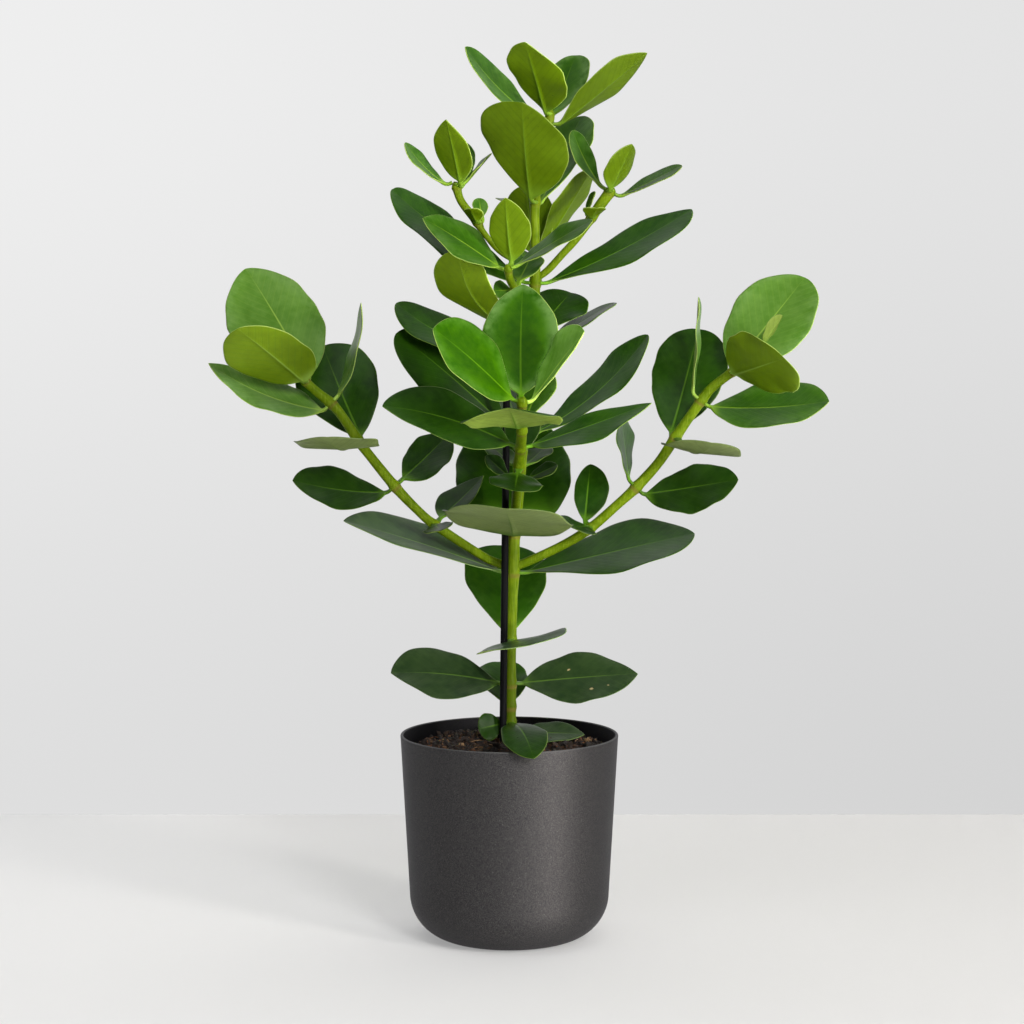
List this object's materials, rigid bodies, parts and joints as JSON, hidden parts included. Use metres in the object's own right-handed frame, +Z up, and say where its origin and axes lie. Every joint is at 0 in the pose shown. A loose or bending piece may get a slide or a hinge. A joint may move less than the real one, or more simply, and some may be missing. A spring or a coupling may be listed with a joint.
{
  "type": "potted clusia",
  "caption": "Evergreen house plant with broad fleshy leaves in opposite pairs on forking green stems, held by a stake, in a plain tapered dark pot.",
  "frame": {"origin": "centre of the pot's flat foot, on the surface that it stands on", "axes": "+Z up along the pot's axis; -Y towards the viewer; +X to the viewer's right"},
  "size_m": [0.5096, 0.2966, 0.7305],
  "materials": {
    "pot_glaze": "anthracite with a fine metallic grain, satin",
    "soil_crumbs": "loose bark and coir crumbs",
    "stake_plastic": "satin black",
    "stem_bark": "smooth green bark with brown scars at the nodes",
    "shoot_back_skin": "young fleshy leaves, satin",
    "shoot_upper_left_skin": "young fleshy leaves, satin",
    "shoot_upper_right_skin": "young fleshy leaves, satin",
    "shoot_upper_front_skin": "young fleshy leaves, satin",
    "shoot_upper_back_skin": "young fleshy leaves, satin",
    "leaf_foot_front_skin": "fleshy leaf, waxy satin",
    "leaf_foot_left_skin": "fleshy leaf, waxy satin",
    "leaf_foot_right_skin": "fleshy leaf, waxy satin",
    "leaf_foot_back_skin": "fleshy leaf, waxy satin",
    "leaf_low_left_skin": "fleshy leaf, waxy satin",
    "leaf_low_right_skin": "fleshy leaf, waxy satin",
    "leaf_second_front_skin": "fleshy leaf, waxy satin",
    "leaf_second_back_skin": "fleshy leaf, waxy satin",
    "leaf_great_left_skin": "fleshy leaf, waxy satin",
    "leaf_great_right_skin": "fleshy leaf, waxy satin",
    "leaf_great_front_skin": "fleshy leaf, waxy satin",
    "leaf_great_back_skin": "fleshy leaf, waxy satin",
    "leaf_middle_left_skin": "fleshy leaf, waxy satin",
    "leaf_middle_right_skin": "fleshy leaf, waxy satin",
    "leaf_inner_left_skin": "fleshy leaf, waxy satin",
    "leaf_inner_right_skin": "fleshy leaf, waxy satin",
    "leaf_inner_front_skin": "fleshy leaf, waxy satin",
    "leaf_inner_back_skin": "fleshy leaf, waxy satin",
    "leaf_wing_left_skin": "fleshy leaf, waxy satin",
    "leaf_wing_right_skin": "fleshy leaf, waxy satin",
    "leaf_upper_front_skin": "fleshy leaf, waxy satin",
    "leaf_upper_back_skin": "fleshy leaf, waxy satin",
    "leaf_crown_left_skin": "young fleshy leaf, satin",
    "leaf_crown_right_skin": "young fleshy leaf, satin",
    "leaf_tip_front_skin": "young fleshy leaf, satin",
    "leaf_tip_back_skin": "young fleshy leaf, satin",
    "leaf_left_first_skin": "fleshy leaf, waxy satin",
    "leaf_left_second_out_skin": "fleshy leaf, waxy satin",
    "leaf_left_second_in_skin": "fleshy leaf, waxy satin",
    "leaf_left_third_front_skin": "fleshy leaf, waxy satin",
    "leaf_left_third_back_skin": "fleshy leaf, waxy satin",
    "leaf_left_fourth_out_skin": "young fleshy leaf, satin",
    "leaf_left_fourth_in_skin": "fleshy leaf, waxy satin",
    "leaf_left_tip_front_skin": "fleshy leaf, waxy satin",
    "leaf_left_tip_back_skin": "young fleshy leaf, satin",
    "leaf_right_first_skin": "fleshy leaf, waxy satin",
    "leaf_right_second_out_skin": "fleshy leaf, waxy satin",
    "leaf_right_second_in_skin": "fleshy leaf, waxy satin",
    "leaf_right_third_front_skin": "fleshy leaf, waxy satin",
    "leaf_right_third_back_skin": "fleshy leaf, waxy satin",
    "leaf_right_fourth_out_skin": "young fleshy leaf, satin",
    "leaf_right_fourth_in_skin": "fleshy leaf, waxy satin",
    "leaf_right_tip_front_skin": "fleshy leaf, waxy satin",
    "leaf_right_tip_back_skin": "young fleshy leaf, satin",
    "leaf_front_left_skin": "fleshy leaf, waxy satin",
    "leaf_front_right_skin": "fleshy leaf, waxy satin",
    "leaf_front_low_skin": "fleshy leaf, waxy satin",
    "leaf_front_behind_skin": "fleshy leaf, waxy satin",
    "leaf_rosette_left_skin": "young fleshy leaf, satin",
    "leaf_rosette_right_skin": "young fleshy leaf, satin",
    "leaf_rosette_back_skin": "young fleshy leaf, satin"
  },
  "bodies": {
    "root": {"pot": "pot_glaze", "soil": "soil_crumbs", "stake": "stake_plastic", "stems": "stem_bark", "shoot_back": "shoot_back_skin", "shoot_upper_left": "shoot_upper_left_skin", "shoot_upper_right": "shoot_upper_right_skin", "shoot_upper_front": "shoot_upper_front_skin", "shoot_upper_back": "shoot_upper_back_skin", "leaf_foot_front": "leaf_foot_front_skin", "leaf_foot_left": "leaf_foot_left_skin", "leaf_foot_right": "leaf_foot_right_skin", "leaf_foot_back": "leaf_foot_back_skin", "leaf_low_left": "leaf_low_left_skin", "leaf_low_right": "leaf_low_right_skin", "leaf_second_front": "leaf_second_front_skin", "leaf_second_back": "leaf_second_back_skin", "leaf_great_left": "leaf_great_left_skin", "leaf_great_right": "leaf_great_right_skin", "leaf_great_front": "leaf_great_front_skin", "leaf_great_back": "leaf_great_back_skin", "leaf_middle_left": "leaf_middle_left_skin", "leaf_middle_right": "leaf_middle_right_skin", "leaf_inner_left": "leaf_inner_left_skin", "leaf_inner_right": "leaf_inner_right_skin", "leaf_inner_front": "leaf_inner_front_skin", "leaf_inner_back": "leaf_inner_back_skin", "leaf_wing_left": "leaf_wing_left_skin", "leaf_wing_right": "leaf_wing_right_skin", "leaf_upper_front": "leaf_upper_front_skin", "leaf_upper_back": "leaf_upper_back_skin", "leaf_crown_left": "leaf_crown_left_skin", "leaf_crown_right": "leaf_crown_right_skin", "leaf_tip_front": "leaf_tip_front_skin", "leaf_tip_back": "leaf_tip_back_skin", "leaf_left_first": "leaf_left_first_skin", "leaf_left_second_out": "leaf_left_second_out_skin", "leaf_left_second_in": "leaf_left_second_in_skin", "leaf_left_third_front": "leaf_left_third_front_skin", "leaf_left_third_back": "leaf_left_third_back_skin", "leaf_left_fourth_out": "leaf_left_fourth_out_skin", "leaf_left_fourth_in": "leaf_left_fourth_in_skin", "leaf_left_tip_front": "leaf_left_tip_front_skin", "leaf_left_tip_back": "leaf_left_tip_back_skin", "leaf_right_first": "leaf_right_first_skin", "leaf_right_second_out": "leaf_right_second_out_skin", "leaf_right_second_in": "leaf_right_second_in_skin", "leaf_right_third_front": "leaf_right_third_front_skin", "leaf_right_third_back": "leaf_right_third_back_skin", "leaf_right_fourth_out": "leaf_right_fourth_out_skin", "leaf_right_fourth_in": "leaf_right_fourth_in_skin", "leaf_right_tip_front": "leaf_right_tip_front_skin", "leaf_right_tip_back": "leaf_right_tip_back_skin", "leaf_front_left": "leaf_front_left_skin", "leaf_front_right": "leaf_front_right_skin", "leaf_front_low": "leaf_front_low_skin", "leaf_front_behind": "leaf_front_behind_skin", "leaf_rosette_left": "leaf_rosette_left_skin", "leaf_rosette_right": "leaf_rosette_right_skin", "leaf_rosette_back": "leaf_rosette_back_skin"}
  },
  "joints": []
}
